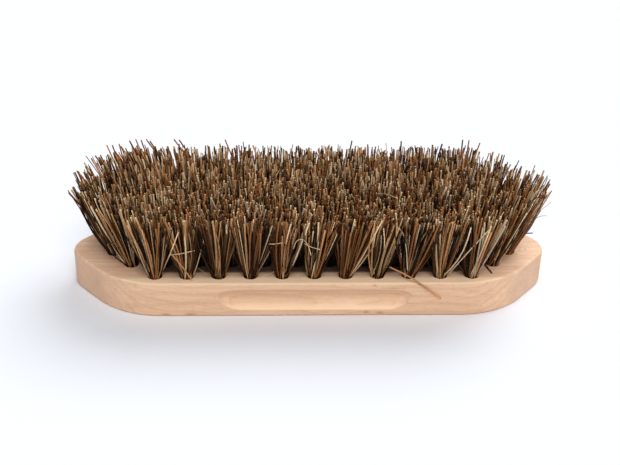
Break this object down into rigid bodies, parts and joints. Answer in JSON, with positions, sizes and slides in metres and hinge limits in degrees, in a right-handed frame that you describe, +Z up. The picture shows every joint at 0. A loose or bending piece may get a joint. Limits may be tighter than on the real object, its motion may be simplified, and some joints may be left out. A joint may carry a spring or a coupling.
{
  "type": "scrubbing brush",
  "caption": "Wooden hand scrubbing brush with pointed ends, finger grooves along both sides and rows of stiff fibre tufts.",
  "frame": {"origin": "middle of the block's flat back, on the surface that the brush lies on", "axes": "+X along the block, +Y across it, +Z up out of the back towards the bristle tips"},
  "size_m": [0.2, 0.0689, 0.0481],
  "materials": {
    "beech": "fine-sanded, unvarnished",
    "mixed_fibre": "stiff plant fibre, mixed near-black, red-brown and straw"
  },
  "bodies": {
    "root": {"block": "beech", "tuft_front_01": "mixed_fibre", "tuft_front_02": "mixed_fibre", "tuft_front_03": "mixed_fibre", "tuft_front_04": "mixed_fibre", "tuft_front_05": "mixed_fibre", "tuft_front_06": "mixed_fibre", "tuft_front_07": "mixed_fibre", "tuft_front_08": "mixed_fibre", "tuft_front_09": "mixed_fibre", "tuft_front_10": "mixed_fibre", "tuft_front_11": "mixed_fibre", "tuft_near_01": "mixed_fibre", "tuft_near_02": "mixed_fibre", "tuft_near_03": "mixed_fibre", "tuft_near_04": "mixed_fibre", "tuft_near_05": "mixed_fibre", "tuft_near_06": "mixed_fibre", "tuft_near_07": "mixed_fibre", "tuft_near_08": "mixed_fibre", "tuft_near_09": "mixed_fibre", "tuft_near_10": "mixed_fibre", "tuft_near_11": "mixed_fibre", "tuft_near_12": "mixed_fibre", "tuft_middle_01": "mixed_fibre", "tuft_middle_02": "mixed_fibre", "tuft_middle_03": "mixed_fibre", "tuft_middle_04": "mixed_fibre", "tuft_middle_05": "mixed_fibre", "tuft_middle_06": "mixed_fibre", "tuft_middle_07": "mixed_fibre", "tuft_middle_08": "mixed_fibre", "tuft_middle_09": "mixed_fibre", "tuft_middle_10": "mixed_fibre", "tuft_middle_11": "mixed_fibre", "tuft_middle_12": "mixed_fibre", "tuft_middle_13": "mixed_fibre", "tuft_far_01": "mixed_fibre", "tuft_far_02": "mixed_fibre", "tuft_far_03": "mixed_fibre", "tuft_far_04": "mixed_fibre", "tuft_far_05": "mixed_fibre", "tuft_far_06": "mixed_fibre", "tuft_far_07": "mixed_fibre", "tuft_far_08": "mixed_fibre", "tuft_far_09": "mixed_fibre", "tuft_far_10": "mixed_fibre", "tuft_far_11": "mixed_fibre", "tuft_far_12": "mixed_fibre", "tuft_rear_01": "mixed_fibre", "tuft_rear_02": "mixed_fibre", "tuft_rear_03": "mixed_fibre", "tuft_rear_04": "mixed_fibre", "tuft_rear_05": "mixed_fibre", "tuft_rear_06": "mixed_fibre", "tuft_rear_07": "mixed_fibre", "tuft_rear_08": "mixed_fibre", "tuft_rear_09": "mixed_fibre", "tuft_rear_10": "mixed_fibre", "tuft_rear_11": "mixed_fibre"}
  },
  "joints": []
}
